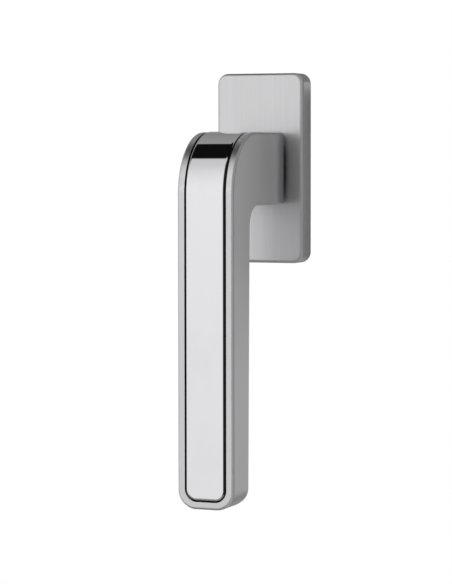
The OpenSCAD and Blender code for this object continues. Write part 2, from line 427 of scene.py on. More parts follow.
@dataclass(frozen=True)
class Finish:
    """What every finish shares: a Principled shader whose maps are laid out by its kind.

    Args:
        slot: the record's slot that the finish stands for.
        dark: base colour where the surface's pattern is darkest.
        light: base colour where it is lightest.
        smooth: roughness where the surface is smoothest.
        rough: roughness where it is roughest.
        metallic: 1 for bare metal or plating, 0 for plastic, paint and foam.
        bump: strength of the surface's relief.
        depth: depth of that relief.
    """

    slot: Slot
    dark: Point3
    light: Point3
    smooth: float
    rough: float
    metallic: float = 1.0
    bump: float = 0.1
    depth: float = 0.01 * MM

    def build(self, effects: SharedEffects) -> bpy.types.Material:
        """Makes the material.

        Args:
            effects: the shared node groups.

        Returns:
            The finished material.
        """
        material = bpy.data.materials.new(self.slot.value)
        material.use_nodes = True
        graph = Graph(material.node_tree)
        shader = material.node_tree.nodes["Principled BSDF"]
        shader.inputs["Metallic"].default_value = self.metallic
        maps = self.lay(graph, effects)
        color = graph.mix_color(maps.tone, self.dark, self.light)
        graph.link(color, shader.inputs["Base Color"])
        roughness = graph.remap(maps.gloss, 0.0, 1.0, self.smooth, self.rough)
        graph.link(roughness, shader.inputs["Roughness"])
        if maps.scatter is not None:
            metal = graph.math(Op.SUBTRACT, self.metallic, maps.scatter, clamp=True)
            graph.link(metal, shader.inputs["Metallic"])
        bump = graph.add("ShaderNodeBump")
        bump.inputs["Strength"].default_value = self.bump
        bump.inputs["Distance"].default_value = self.depth
        graph.link(maps.height, bump.inputs["Height"])
        graph.link(bump.outputs["Normal"], shader.inputs["Normal"])
        self.tune(shader)
        return material

    @staticmethod
    def place(graph: Graph, tree: bpy.types.NodeTree, **values: float) -> bpy.types.NodeOutputs:
        """Places a shared effect in the material.

        Args:
            graph: the material's graph.
            tree: the shared node group.
            values: values of the group's inputs.

        Returns:
            The effect's outputs.
        """
        node = graph.add("ShaderNodeGroup", node_tree=tree)
        for name, value in values.items():
            node.inputs[name].default_value = value
        return node.outputs

    def lay(self, graph: Graph, effects: SharedEffects) -> Maps:
        """Lays out the finish's maps in the material's graph; each kind has its own."""
        raise NotImplementedError

    def tune(self, shader: bpy.types.Node) -> None:
        """Sets what is the same all over the surface; most kinds have nothing to set."""


@dataclass(frozen=True)
class BrushedChrome(Finish):
    """Satin chrome plating with upright brush lines, duller where an upright edge rounds over.

    Args:
        contrast: how strongly the brush lines show.
        scatter: share that scatters light where an edge is halfway round.
    """

    contrast: float = 0.5
    scatter: float = 0.75

    def lay(self, graph: Graph, effects: SharedEffects) -> Maps:
        """Lays brush lines in tone and gloss, a little brighter along worn edges.

        Args:
            graph: the material's graph.
            effects: the shared node groups.

        Returns:
            The maps.
        """
        grain = self.place(graph, effects.grain, Contrast=self.contrast)
        marks = self.place(graph, effects.handling, Amount=0.35)
        edge = self.place(graph, effects.edge, Strength=0.5)
        tone = graph.math(Op.ADD, grain["Lines"], edge["Edge"], clamp=True)
        soft = graph.math(Op.ADD, marks["Smudge"], marks["Dust"])
        gloss = graph.math(Op.MULTIPLY, graph.math(Op.ADD, grain["Lines"], soft), 0.25)
        gloss = graph.math(Op.ADD, gloss, edge["Turn"], clamp=True)
        scatter = graph.math(Op.MULTIPLY, edge["Turn"], self.scatter)
        return Maps(tone, gloss, grain["Height"], scatter)


@dataclass(frozen=True)
class LinedChrome(BrushedChrome):
    """Satin chrome whose brush lines spread every reflection sideways.

    Args:
        spread: how strongly they spread it, from 0 to 1.
    """

    spread: float = 0.5

    def tune(self, shader: bpy.types.Node) -> None:
        """Spreads reflections across the lines."""
        shader.inputs["Anisotropic"].default_value = self.spread


@dataclass(frozen=True)
class MirrorChrome(Finish):
    """Polished chrome plating, with the faint unevenness of a buffed surface."""

    def lay(self, graph: Graph, effects: SharedEffects) -> Maps:
        """Lays faint smudges over a near mirror.

        Args:
            graph: the material's graph.
            effects: the shared node groups.

        Returns:
            The maps.
        """
        marks = self.place(graph, effects.handling, Amount=0.5)
        wave = graph.noise(scale=90.0, detail=1.0, stretch=(1.0, 1.0, 0.4))
        gloss = graph.math(Op.LARGER, marks["Smudge"], marks["Dust"])
        return Maps(graph.math(Op.SUBTRACT, 1.0, gloss), gloss, wave)


@dataclass(frozen=True)
class CastMetal(Finish):
    """As-cast, moulded or coated skin with a mottled tone and small pits.

    Args:
        contrast: how strongly the mottling and the pits show.
        wear: how much lighter worn edges are.
    """

    contrast: float = 0.8
    wear: float = 0.4

    def lay(self, graph: Graph, effects: SharedEffects) -> Maps:
        """Lays mottling and pits, with lighter worn edges.

        Args:
            graph: the material's graph.
            effects: the shared node groups.

        Returns:
            The maps.
        """
        skin = self.place(graph, effects.cast, Contrast=self.contrast)
        edge = self.place(graph, effects.edge, Strength=self.wear)
        marks = self.place(graph, effects.handling, Amount=0.4)
        tone = graph.math(Op.ADD, skin["Tone"], edge["Edge"], clamp=True)
        gloss = graph.math(Op.ADD, skin["Tone"], marks["Dust"], clamp=True)
        return Maps(tone, gloss, skin["Height"])


@dataclass(frozen=True)
class RolledSteel(Finish):
    """Plated or rolled steel, part brushed and part mottled."""

    def lay(self, graph: Graph, effects: SharedEffects) -> Maps:
        """Lays rolling lines crossed with the plating's mottle.

        Args:
            graph: the material's graph.
            effects: the shared node groups.

        Returns:
            The maps.
        """
        grain = self.place(graph, effects.grain, Contrast=0.6)
        skin = self.place(graph, effects.cast, Contrast=0.6)
        edge = self.place(graph, effects.edge, Strength=0.4)
        # both patterns lie round 0.5, so their product is doubled to lie there too
        both = graph.math(Op.MULTIPLY, grain["Lines"], skin["Tone"])
        both = graph.math(Op.MULTIPLY, both, 2.0)
        tone = graph.math(Op.ADD, both, edge["Edge"], clamp=True)
        return Maps(tone, skin["Tone"], skin["Height"])


@dataclass(frozen=True)
class Palette:
    """The finished materials.

    Args:
        by_slot: the material of each record slot.
        rose: the rose cover's satin chrome.
        recess: black painted shade, for the floor of the lever's recess and the strip's sides.
    """

    by_slot: dict[Slot, bpy.types.Material]
    rose: bpy.types.Material
    recess: bpy.types.Material


@dataclass(frozen=True)
class Finishes:
    """Every finish on the handle.

    Args:
        table: one finish for each record slot.
        rose: satin chrome with broad, strong brush lines, for the rose's cover.
        recess: black painted shade, for the floor of the lever's recess and the strip's sides.
    """

    table: tuple[Finish, ...] = (
        BrushedChrome(
            Slot.SATIN, dark=(0.71, 0.71, 0.722), light=(0.85, 0.85, 0.862),
            smooth=0.34, rough=0.70, bump=0.15,
        ),
        MirrorChrome(
            Slot.POLISHED, dark=(0.84, 0.84, 0.853), light=(0.90, 0.90, 0.914),
            smooth=0.02, rough=0.06, bump=0.02,
        ),
        CastMetal(
            Slot.CAST, dark=(0.33, 0.335, 0.34), light=(0.55, 0.555, 0.56),
            smooth=0.42, rough=0.62, bump=0.4,
        ),
        RolledSteel(
            Slot.PLATED, dark=(0.52, 0.54, 0.56), light=(0.74, 0.76, 0.78),
            smooth=0.2, rough=0.36, bump=0.1,
        ),
        RolledSteel(
            Slot.SPRING, dark=(0.30, 0.305, 0.31), light=(0.52, 0.525, 0.53),
            smooth=0.22, rough=0.4, bump=0.1,
        ),
        CastMetal(
            Slot.NYLON, dark=(0.010, 0.010, 0.011), light=(0.028, 0.028, 0.030),
            smooth=0.42, rough=0.6, metallic=0.0, bump=0.3,
        ),
        CastMetal(
            Slot.ACETAL, dark=(0.70, 0.69, 0.64), light=(0.86, 0.85, 0.80),
            smooth=0.32, rough=0.48, metallic=0.0, bump=0.15, wear=0.1,
        ),
        CastMetal(
            Slot.FOAM, dark=(0.03, 0.03, 0.032), light=(0.08, 0.08, 0.085),
            smooth=0.8, rough=0.95, metallic=0.0, bump=0.8, wear=0.0,
        ),
    )
    rose: Finish = LinedChrome(
        Slot.SATIN, dark=(0.71, 0.71, 0.722), light=(0.93, 0.93, 0.942),
        smooth=0.36, rough=0.70, bump=0.3, contrast=1.0,
    )
    # painted shade: near black stands in for the shade in the narrow groove round the strip; it
    # takes the die_cast slot only for its material's name
    recess: Finish = CastMetal(
        Slot.CAST, dark=(0.010, 0.010, 0.011), light=(0.024, 0.024, 0.025),
        smooth=0.5, rough=0.7, metallic=0.0, wear=0.0,
    )

    def build(self) -> Palette:
        """Builds every material.

        Returns:
            The finished materials.
        """
        effects = SharedEffects()
        return Palette(
            by_slot={finish.slot: finish.build(effects) for finish in self.table},
            rose=self.rose.build(effects),
            recess=self.recess.build(effects),
        )


# ---------------------------------------------------------------------------------------------
# Mesh making
# ---------------------------------------------------------------------------------------------


def arc(centre: Point2, radius: float, start: float, stop: float, steps: int) -> list[Point2]:
    """Points along a circular arc.

    Args:
        centre: the arc's centre.
        radius: its radius.
        start: the angle of the first point, in degrees.
        stop: the angle of the last point, in degrees.
        steps: how many spans the arc is cut into.

    Returns:
        The points, both ends included.
    """
    x, y = centre
    angles = [math.radians(start + (stop - start) * i / steps) for i in range(steps + 1)]
    return [(x + radius * math.cos(a), y + radius * math.sin(a)) for a in angles]


def circle(centre: Point2, radius: float, count: int) -> list[Point2]:
    """Evenly spaced points round a whole circle."""
    return arc(centre, radius, 0.0, 360.0 - 360.0 / count, count - 1)


def rounded_rectangle(width: float, height: float, radius: float, steps: int) -> list[Point2]:
    """Outline of a rectangle with rounded corners, anticlockwise from the lower right.

    Args:
        width: full width.
        height: full height.
        radius: corner radius.
        steps: spans in each corner.

    Returns:
        The outline's points.
    """
    x, z = width / 2 - radius, height / 2 - radius
    corners = (((x, -z), -90.0), ((x, z), 0.0), ((-x, z), 90.0), ((-x, -z), 180.0))
    return [p for centre, a in corners for p in arc(centre, radius, a, a + 90.0, steps)]


@dataclass
class Shape:
    """A mesh in the making.

    Args:
        points: its points.
        faces: its faces, as numbers of points.
    """

    points: list[Vector] = field(default_factory=list)
    faces: list[tuple[int, ...]] = field(default_factory=list)

    def loop(self, places: Iterable[Vector]) -> list[int]:
        """Adds points.

        Args:
            places: where they are.

        Returns:
            Their numbers.
        """
        first = len(self.points)
        self.points.extend(places)
        return list(range(first, len(self.points)))

    def skin(self, loops: Sequence[Sequence[int]], closed: bool = False) -> None:
        """Joins neighbouring loops with quads.

        Args:
            loops: rings with the same number of points.
            closed: whether the last ring joins the first.
        """
        pairs = list(zip(loops, loops[1:])) + ([(loops[-1], loops[0])] if closed else [])
        for low, high in pairs:
            for i in range(len(low)):
                j = (i + 1) % len(low)
                self.faces.append((low[i], low[j], high[j], high[i]))

    def cap(self, ring: Sequence[int]) -> None:
        """Closes a ring with one flat face."""
        self.faces.append(tuple(ring))

    def mesh(self, name: str) -> bpy.types.Mesh:
        """Makes the mesh, with its faces turned outwards.

        Args:
            name: the mesh's name.

        Returns:
            The mesh.
        """
        data = bpy.data.meshes.new(name)
        data.from_pydata([tuple(p) for p in self.points], [], self.faces)
        work = bmesh.new()
        work.from_mesh(data)
        bmesh.ops.remove_doubles(work, verts=work.verts, dist=WELD)
        bmesh.ops.recalc_face_normals(work, faces=work.faces)
        work.to_mesh(data)
        work.free()
        return data

    def put(self, name: str) -> bpy.types.Object:
        """Makes an object of the shape and links it to the scene.

        Args:
            name: the object's name.

        Returns:
            The object.
        """
        thing = bpy.data.objects.new(name, self.mesh(name))
        bpy.context.scene.collection.objects.link(thing)
        return thing


def prism(outline: Sequence[Point2], low: float, high: float, axis: Axis) -> Shape:
    """A straight solid with the outline as its section.

    Args:
        outline: the section's points; (y, z) along X, (x, z) along Y, (x, y) along Z.
        low: where the solid starts along its axis.
        high: where it ends.
        axis: the axis that it runs along.

    Returns:
        The solid.
    """
    place = {
        Axis.X: lambda p, d: Vector((d, p[0], p[1])),
        Axis.Y: lambda p, d: Vector((p[0], d, p[1])),
        Axis.Z: lambda p, d: Vector((p[0], p[1], d)),
    }[axis]
    shape = Shape()
    rings = [shape.loop(place(p, d) for p in outline) for d in (low, high)]
    shape.skin(rings)
    for ring in rings:
        shape.cap(ring)
    return shape


def settle(thing: bpy.types.Object) -> None:
    """Applies an object's modifiers to its mesh.

    Args:
        thing: the object.
    """
    graph = bpy.context.evaluated_depsgraph_get()
    data = bpy.data.meshes.new_from_object(thing.evaluated_get(graph))
    thing.modifiers.clear()
    thing.data = data


def carve(thing: bpy.types.Object, tool: bpy.types.Object, cut: Cut) -> None:
    """Uses a tool on an object and removes the tool.

    Cut faces take the tool's material.

    Args:
        thing: the object that is kept.
        tool: the object that cuts it or joins it.
        cut: what the tool does.
    """
    step = thing.modifiers.new("carve", "BOOLEAN")
    step.operation, step.solver, step.object = cut.value, "EXACT", tool
    step.material_mode = "TRANSFER"
    settle(thing)
    bpy.data.objects.remove(tool)


def round_edges(
    thing: bpy.types.Object,
    width: float,
    segments: int,
    wanted: Callable[[bmesh.types.BMEdge], bool],
) -> None:
    """Rounds chosen sharp edges.

    Args:
        thing: the object to round.
        width: how far the rounding reaches from the edge.
        segments: spans across the rounding.
        wanted: says whether a sharp edge is rounded.
    """
    work = bmesh.new()
    work.from_mesh(thing.data)
    bmesh.ops.remove_doubles(work, verts=work.verts, dist=WELD)
    layers, name = work.edges.layers.float, "bevel_weight_edge"
    weights = layers.get(name) or layers.new(name)
    for edge in work.edges:
        sharp = len(edge.link_faces) == 2 and edge.calc_face_angle(0.0) > SHARP
        edge[weights] = 1.0 if sharp and wanted(edge) else 0.0
    work.to_mesh(thing.data)
    work.free()
    step = thing.modifiers.new("round", "BEVEL")
    step.width, step.segments, step.limit_method = width, segments, "WEIGHT"
    step.offset_type, step.use_clamp_overlap, step.miter_outer = "OFFSET", False, "MITER_SHARP"
    settle(thing)


def polish(thing: bpy.types.Object, crease: float = 35.0) -> None:
    """Smooths the shading over curved faces and keeps flat faces flat.

    Args:
        thing: the object to shade.
        crease: edges sharper than this many degrees stay sharp.
    """
    data = thing.data
    data.shade_smooth()
    data.set_sharp_from_angle(angle=math.radians(crease))
    step = thing.modifiers.new("flat_faces", "WEIGHTED_NORMAL")
    step.keep_sharp, step.weight, step.mode = True, 100, "FACE_AREA"


@dataclass(frozen=True)
class LeverPath:
    """The line that the lever's outer face follows: up the grip, over the bend, along the neck.

    Distances along it run from the grip's end.

    Args:
        reach: how far the grip's front stands before the mounting plane.
        drop: how far the grip's end lies below the turning axis.
        top: height of the neck's top above that axis.
        bend: radius of the bend.
        rear: how far the neck's rear stands before the mounting plane.
    """

    reach: float
    drop: float
    top: float
    bend: float
    rear: float

    @property
    def straight(self) -> float:
        """Length of the grip's straight front."""
        return self.drop + self.top - self.bend

    @property
    def turned(self) -> float:
        """Length along the bend."""
        return self.bend * math.pi / 2

    @property
    def length(self) -> float:
        """Whole length from the grip's end to the neck's rear."""
        return self.straight + self.turned + self.reach - self.bend - self.rear

    def at(self, s: float, x: float, height: float) -> Vector:
        """A point on or above the face.

        Args:
            s: distance along the path from the grip's end.
            x: place across the lever.
            height: height above the face, negative below it.

        Returns:
            The point in the frame.
        """
        if s <= self.straight:
            return Vector((x, -self.reach - height, -self.drop + s))
        if s >= self.straight + self.turned:
            back = s - self.straight - self.turned
            return Vector((x, -self.reach + self.bend + back, self.top + height))
        angle = (s - self.straight) / self.bend
        radius = self.bend + height
        y = -self.reach + self.bend - radius * math.cos(angle)
        return Vector((x, y, self.top - self.bend + radius * math.sin(angle)))


@dataclass(frozen=True)
class BentPlate:
    """A plate with rounded ends that lies along the lever's path.

    Args:
        path: the line that the plate follows.
        width: full width.
        start: path distance of its lower end.
        stop: path distance of its rear end.
        corner: corner radius at both ends.
        top: height of its upper face above the lever's face.
        bottom: height of its lower face.
        edge: rounding of the upper face's rim, or 0 for none.
        corner_steps: spans in each corner.
        bend_steps: spans along the bend.
        edge_steps: spans across the rounded rim.
    """

    path: LeverPath
    width: float
    start: float
    stop: float
    corner: float
    top: float
    bottom: float
    edge: float = 0.0
    corner_steps: int = 14
    bend_steps: int = 48
    edge_steps: int = 6

    def _rows(self) -> list[tuple[float, float, float, float]]:
        """Works out where the plate's right side runs.

        Returns:
            Path distance, half width and outward direction of each row's right end.
        """
        half, r = self.width / 2 - self.corner, self.corner
        angles = [math.pi / 2 * i / self.corner_steps for i in range(self.corner_steps + 1)]
        first, last = self.start + r, self.stop - r
        rows = []
        for a in angles:
            out, side = math.cos(a), math.sin(a)
            rows.append((first - r * out, half + r * side, -out, side))
        for i in range(self.bend_steps + 1):
            s = self.path.straight + self.path.turned * i / self.bend_steps
            if first < s < last:
                rows.append((s, self.width / 2, 0.0, 1.0))
        for a in angles:
            out, side = math.sin(a), math.cos(a)
            rows.append((last + r * out, half + r * side, out, side))
        return rows

    def _profile(self) -> list[Point2]:
        """Works out the plate's section at its rim.

        Returns:
            Inset from the outline and depth below the upper face of each ring, top first.
        """
        low = (0.0, self.top - self.bottom)
        if not self.edge:
            return [(0.0, 0.0), low]
        angles = [math.pi / 2 * (1 - i / self.edge_steps) for i in range(self.edge_steps + 1)]
        rim = [(self.edge * (1 - math.cos(a)), self.edge * (1 - math.sin(a))) for a in angles]
        return rim + [low]

    def shape(self) -> Shape:
        """Builds the plate.

        Returns:
            Its closed mesh.
        """
        shape, rows = Shape(), self._rows()
        rims = []
        for inset, down in self._profile():
            height = self.top - down
            right = [
                self.path.at(s - inset * ds, w - inset * dx, height) for s, w, ds, dx in rows
            ]
            left = [Vector((-p.x, p.y, p.z)) for p in right]
            rims.append(shape.loop(right + left[::-1]))
        shape.skin(rims)
        last = 2 * len(rows) - 1
        for rim in (rims[0], rims[-1]):
            for i in range(len(rows) - 1):
                shape.faces.append((rim[i], rim[i + 1], rim[last - 1 - i], rim[last - i]))
        return shape


# ---------------------------------------------------------------------------------------------
# Sub-assemblies
# ---------------------------------------------------------------------------------------------


@dataclass
class SubAssembly:
    """Pieces that belong together in the handle.

    Args:
        palette: the finished materials.
    """

    palette: Palette

    @staticmethod
    def dress(thing: bpy.types.Object, *materials: bpy.types.Material) -> None:
        """Gives an object its materials, whatever it had before.

        Args:
            thing: the object.
            materials: its materials, in the order of their slots.
        """
        thing.data.materials.clear()
        for material in materials:
            thing.data.materials.append(material)

    @staticmethod
    def add(thing: bpy.types.Object, body: Body, slot: Slot, node: str) -> None:
        """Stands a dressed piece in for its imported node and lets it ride.

        Args:
            thing: the new piece.
            body: the body it rides on.
            slot: the record's slot of its finish.
            node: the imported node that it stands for.
        """
        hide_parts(node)
        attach(thing, body.value)
        LOG.info("%s: %d faces, %s", thing.name, len(thing.data.polygons), slot.value)

    def keep(self, nodes: Nodes, finish: dict[str, Slot]) -> None:
        """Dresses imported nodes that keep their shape.

        Args:
            nodes: the frame's node objects by name.
            finish: the slot of each node that is kept.
        """
        for name, slot in finish.items():
            self.dress(nodes[name], self.palette.by_slot[slot])
            LOG.info("%s: packed shape, %s", name, slot.value)


@dataclass
class Lever(SubAssembly):
    """The turning lever: casting, polished strip and what goes with them into the rose."""

    # outline
    end_corner: float = 6.5 * MM
    heel: float = 3.5 * MM
    inner: float = 8.0 * MM
    bend: float = 22.0 * MM
    grip_top: float = 16.1 * MM  # grip's thickness below the neck
    grip_end: float = 14.8 * MM  # and at its end
    crown: float = 0.5 * MM  # rise of the grip's end towards its corners
    crown_span: float = 12.0 * MM

    # roundings
    edge: float = 1.0 * MM
    rear_edge: float = 0.2 * MM

    # recess and strip
    rim: float = 2.75 * MM  # satin margin beside the recess
    clear: float = 0.35 * MM
    recess: float = 1.6 * MM
    proud: float = 0.25 * MM
    tape: float = 0.2 * MM
    strip_corner: float = 4.0 * MM
    strip_edge: float = 1.1 * MM
    wall_lean: float = 0.5  # a recess face that faces sideways more than this is its wall
    side_lean: float = 0.7  # side_lean: float = 0.7 # a strip face that faces outwards more than this is its side, in black painted shade

    # pegs on the strip's back and their bores
    pegs: tuple[float, ...] = (-28.0 * MM, -66.0 * MM, -104.0 * MM)
    peg: float = 1.5 * MM
    peg_length: float = 2.9 * MM
    peg_root: float = 0.5 * MM
    peg_play: float = 0.05 * MM  # between a peg and its bore
    bore_depth: float = 3.0 * MM

    # hub, spindle socket and grub screw hole
    hub: float = 6.5 * MM
    hub_root: float = 0.5 * MM
    flat: float = 5.6 * MM  # from the axis to the hub's flats
    flat_front: float = 4.55 * MM  # how far the flats reach before the mounting plane
    socket: float = 7.1 * MM
    socket_depth: float = 24.5 * MM
    grub_y: float = -18.5 * MM
    grub: float = 3.0 * MM  # radius of the grub screw's hole

    # reach of the cutting tools
    past: float = 1.0 * MM  # beyond the faces that they cut
    around: float = 9.0 * MM  # round the hub
    through: float = 100.0 * MM  # through the whole lever

    def __post_init__(self) -> None:
        """Takes the lever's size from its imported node."""
        low, high = (Vector(corner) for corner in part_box("lever_body"))
        ring_low, _ = (Vector(corner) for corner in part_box("neck_ring"))
        self.half = high.x
        self.top = high.z
        self.hub_end = high.y
        self.rear = ring_low.y
        self.path = LeverPath(-low.y, -low.z, high.z, self.bend, -self.rear)

    def side_outline(self) -> list[Point2]:
        """Draws the outline of neck and grip seen from the side.

        Returns:
            Its points, as (y, z).
        """
        front, drop, top = -self.path.reach, -self.path.drop, self.top
        back_top, back_end = front + self.grip_top, front + self.grip_end
        points = [(self.rear, top)]
        points += arc((front + self.bend, top - self.bend), self.bend, 90, 180, 48)
        points += [(front, drop)]
        points += arc((back_end - self.heel, drop + self.heel), self.heel, -90, 0, 14)
        points += arc((back_top + self.inner, -top - self.inner), self.inner, 180, 90, 20)
        points += [(self.rear, -top)]
        return points

    def front_outline(self) -> list[Point2]:
        """Draws the outline that trims the lever seen from the front.

        Returns:
            Its points, as (x, z).
        """
        half, drop, r = self.half, -self.path.drop, self.end_corner
        right = [(half, self.top + self.past)]
        right += arc((half - r, drop + r), r, 0, -90, 20)
        right += [(half - r, drop - 2 * self.past)]
        return right + [(-x, z) for x, z in reversed(right)]

    def bow(self, thing: bpy.types.Object) -> None:
        """Gives the grip's end its slight crown.

        Args:
            thing: the object whose lower end is bent.
        """
        floor = -self.path.drop
        for vertex in thing.data.vertices:
            near = max(0.0, 1.0 - (vertex.co.z - floor) / self.crown_span)
            vertex.co.z += self.crown * (vertex.co.x / self.half) ** 2 * near

    def plate(self, margin: float, bottom: float, top: float, edge: float = 0.0) -> BentPlate:
        """Lays a plate along the lever that keeps a margin from its outline.

        Args:
            margin: how far the plate stays inside the outline.
            bottom: height of its lower face.
            top: height of its upper face.
            edge: rounding of its rim.

        Returns:
            The plate.
        """
        return BentPlate(
            path=self.path,
            width=2 * (self.half - margin),
            start=margin,
            stop=self.path.length - margin,
            corner=self.strip_corner + self.rim + self.clear - margin,
            top=top,
            bottom=bottom,
            edge=edge,
        )

    def _bar(self) -> bpy.types.Object:
        """Builds the plain lever with its rounded edges.

        Returns:
            The lever, in satin chrome.
        """
        side = self.half + self.past
        body = prism(self.side_outline(), -side, side, Axis.X).put("lever_casting")
        trim = prism(self.front_outline(), -self.through, self.through, Axis.Y).put("trim")
        carve(body, trim, Cut.TRIM)
        behind = self.rear - 0.01 * MM
        round_edges(body, self.edge, 6, lambda e: not all(v.co.y > behind for v in e.verts))
        round_edges(body, self.rear_edge, 2, lambda e: all(v.co.y > behind for v in e.verts))
        self.bow(body)
        self.dress(body, self.palette.by_slot[Slot.SATIN])
        return body

    def _cut_recess(self, body: bpy.types.Object) -> None:
        """Cuts the strip's recess, with satin walls and a floor of black painted shade.

        Args:
            body: the lever.
        """
        pocket = self.plate(self.rim, -self.recess, 1.5 * self.past).shape().put("pocket")
        self.bow(pocket)
        # the pocket's cut faces bring black painted shade: the floor seen through the groove round
        # the strip
        self.dress(pocket, self.palette.recess)
        carve(body, pocket, Cut.REMOVE)
        for face in body.data.polygons:
            if abs(face.normal.x) > self.wall_lean:
                face.material_index = 0

    def _add_hub(self, body: bpy.types.Object) -> None:
        """Adds the hub and cuts the spindle's socket and the grub screw's hole.

        Args:
            body: the lever.
        """
        hub = prism(circle((0, 0), self.hub, 72), self.rear - self.hub_root, self.hub_end, Axis.Y)
        carve(body, hub.put("hub"), Cut.JOIN)
        side = self.socket / 2
        square = [(-side, -side), (side, -side), (side, side), (-side, side)]
        socket = prism(square, -self.socket_depth, self.past, Axis.Y)
        carve(body, socket.put("socket"), Cut.REMOVE)
        round_hole = circle((0, self.grub_y), self.grub, 48)
        hole = prism(round_hole, -self.top - self.past, -self.past, Axis.Z)
        carve(body, hole.put("grub_hole"), Cut.REMOVE)

    def _cut_bores(self, body: bpy.types.Object) -> None:
        """Cuts the bores that take the strip's pegs.

        Args:
            body: the lever.
        """
        floor = -self.path.reach + self.recess
        for z in self.pegs:
            outline = circle((0, z), self.peg + self.peg_play, 24)
            bore = prism(outline, floor - self.past, floor + self.bore_depth, Axis.Y)
            carve(body, bore.put("bore"), Cut.REMOVE)

    def _cut_flats(self, body: bpy.types.Object) -> None:
        """Cuts the hub's two flats, which key the detent's cam.

        Args:
            body: the lever.
        """
        for sign in (-1, 1):
            low, high = sorted((sign * self.flat, sign * self.around))
            reach = self.around
            block = [(low, -reach), (high, -reach), (high, reach), (low, reach)]
            carve(body, prism(block, -self.flat_front, 0.0, Axis.Y).put("flat"), Cut.REMOVE)

    def casting(self) -> bpy.types.Object:
        """Builds the satin casting with its recess, hub, socket and holes.

        Returns:
            The casting.
        """
        body = self._bar()
        self._cut_recess(body)
        self._add_hub(body)
        self._cut_bores(body)
        self._cut_flats(body)
        polish(body)
        return body

    def strip(self) -> bpy.types.Object:
        """Builds the polished strip, with its pegs and its sides in black painted shade.

        Returns:
            The strip.
        """
        under = -self.recess + self.tape
        plate = self.plate(self.rim + self.clear, under, self.proud, self.strip_edge)
        thing = plate.shape().put("polished_strip")
        self.bow(thing)
        back = -self.path.reach - under
        for z in self.pegs:
            outline = circle((0, z), self.peg, 24)
            peg = prism(outline, back - self.peg_root, back + self.peg_length, Axis.Y)
            carve(thing, peg.put("peg"), Cut.JOIN)
        self.dress(thing, self.palette.by_slot[Slot.POLISHED], self.palette.recess)
        # the strip's sides take black painted shade, the shade of the groove round it
        for face in thing.data.polygons:
            outwards = math.hypot(face.normal.x, min(face.normal.z, 0.0))
            face.material_index = int(outwards > self.side_lean)
        polish(thing, crease=60.0)
        return thing

    def build(self, nodes: Nodes) -> None:
        """Makes and dresses every piece of the lever.

        Args:
            nodes: the frame's node objects by name.
        """
        self.add(self.casting(), Body.LEVER, Slot.SATIN, "lever_body")
        self.add(self.strip(), Body.LEVER, Slot.POLISHED, "face_strip")
        finish = {
            "strip_tape": Slot.FOAM,
            "spindle": Slot.PLATED,
            "grub_screw": Slot.SPRING,
            "neck_ring": Slot.NYLON,
            "thrust_washer": Slot.PLATED,
            "detent_cam": Slot.SPRING,
            "wave_washer": Slot.SPRING,
            "circlip": Slot.SPRING,
        }
        self.keep(nodes, finish)


@dataclass
class Rose(SubAssembly):
    """The rose: satin cover with its liner, and the base plate with the detent inside."""

    corner: float = 4.0 * MM
    least_corner: float = 0.2 * MM
    corner_steps: int = 16
    edge: float = 1.3 * MM  # rounding of the front rim
    edge_steps: int = 6
    foot: float = 0.15 * MM  # chamfer against the sash
    wall: float = 1.5 * MM
    front: float = 1.2 * MM
    hole: float = 9.4 * MM
    lip: float = 0.25 * MM  # rounding of the hole's edge

    def __post_init__(self) -> None:
        """Takes the cover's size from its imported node."""
        low, high = (Vector(corner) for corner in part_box("rose_cover"))
        self.width, self.height, self.depth = high.x - low.x, high.z - low.z, -low.y

    def _outline(self, inset: float, corner: float) -> list[Point2]:
        """Draws the cover's outline, inset from its side walls, as (x, z)."""
        width, height = self.width - 2 * inset, self.height - 2 * inset
        return rounded_rectangle(width, height, max(corner, self.least_corner), self.corner_steps)

    def _ring(self, shape: Shape, inset: float, depth: float, corner: float) -> list[int]:
        """Adds an outline of the cover at a depth in front of the sash."""
        return shape.loop(Vector((x, -depth, z)) for x, z in self._outline(inset, corner))

    def _bore(self, shape: Shape, radius: float, depth: float) -> list[int]:
        """Adds a circle whose points face those of the cover's outline.

        Args:
            shape: the mesh that takes the circle.
            radius: its radius.
            depth: its depth in front of the sash.

        Returns:
            The circle's point numbers.
        """
        angles = [math.atan2(z, x) for x, z in self._outline(0.0, self.corner)]
        points = [(radius * math.cos(a), radius * math.sin(a)) for a in angles]
        return shape.loop(Vector((x, -depth, z)) for x, z in points)

    def cover(self) -> bpy.types.Object:
        """Builds the cover as one skin: outside, front, round the hole and back inside.

        Returns:
            The cover.
        """
        shape, inner = Shape(), self.corner - self.wall
        quarter = [math.pi / 2 * i / self.edge_steps for i in range(self.edge_steps + 1)]
        rings = [self._ring(shape, self.foot, 0.0, self.corner - self.foot)]
        rings.append(self._ring(shape, 0.0, self.foot, self.corner))
        for a in quarter:
            inset = self.edge * (1 - math.cos(a))
            depth = self.depth - self.edge * (1 - math.sin(a))
            rings.append(self._ring(shape, inset, depth, self.corner - inset))
        for a in quarter:
            radius = self.hole + self.lip * (1 - math.sin(a))
            depth = self.depth - self.lip * (1 - math.cos(a))
            rings.append(self._bore(shape, radius, depth))
        rings.append(self._bore(shape, self.hole, self.depth - self.front))
        rings.append(self._ring(shape, self.wall, self.depth - self.front, inner))
        rings.append(self._ring(shape, self.wall, 0.0, inner))
        shape.skin(rings, closed=True)
        thing = shape.put("satin_cover")
        polish(thing)
        self.dress(thing, self.palette.rose)
        return thing

    def build(self, nodes: Nodes) -> None:
        """Makes and dresses every piece of the rose.

        Args:
            nodes: the frame's node objects by name.
        """
        self.add(self.cover(), Body.SHELL, Slot.SATIN, "rose_cover")
        finish = {
            "cover_liner": Slot.NYLON,
            "base_plate": Slot.CAST,
            "neck_bush": Slot.ACETAL,
            "detent_spring_left": Slot.SPRING,
            "detent_spring_right": Slot.SPRING,
            "housing_cap": Slot.PLATED,
            "cap_screws": Slot.PLATED,
            "cover_clip_upper": Slot.SPRING,
            "cover_clip_lower": Slot.SPRING,
        }
        self.keep(nodes, finish)


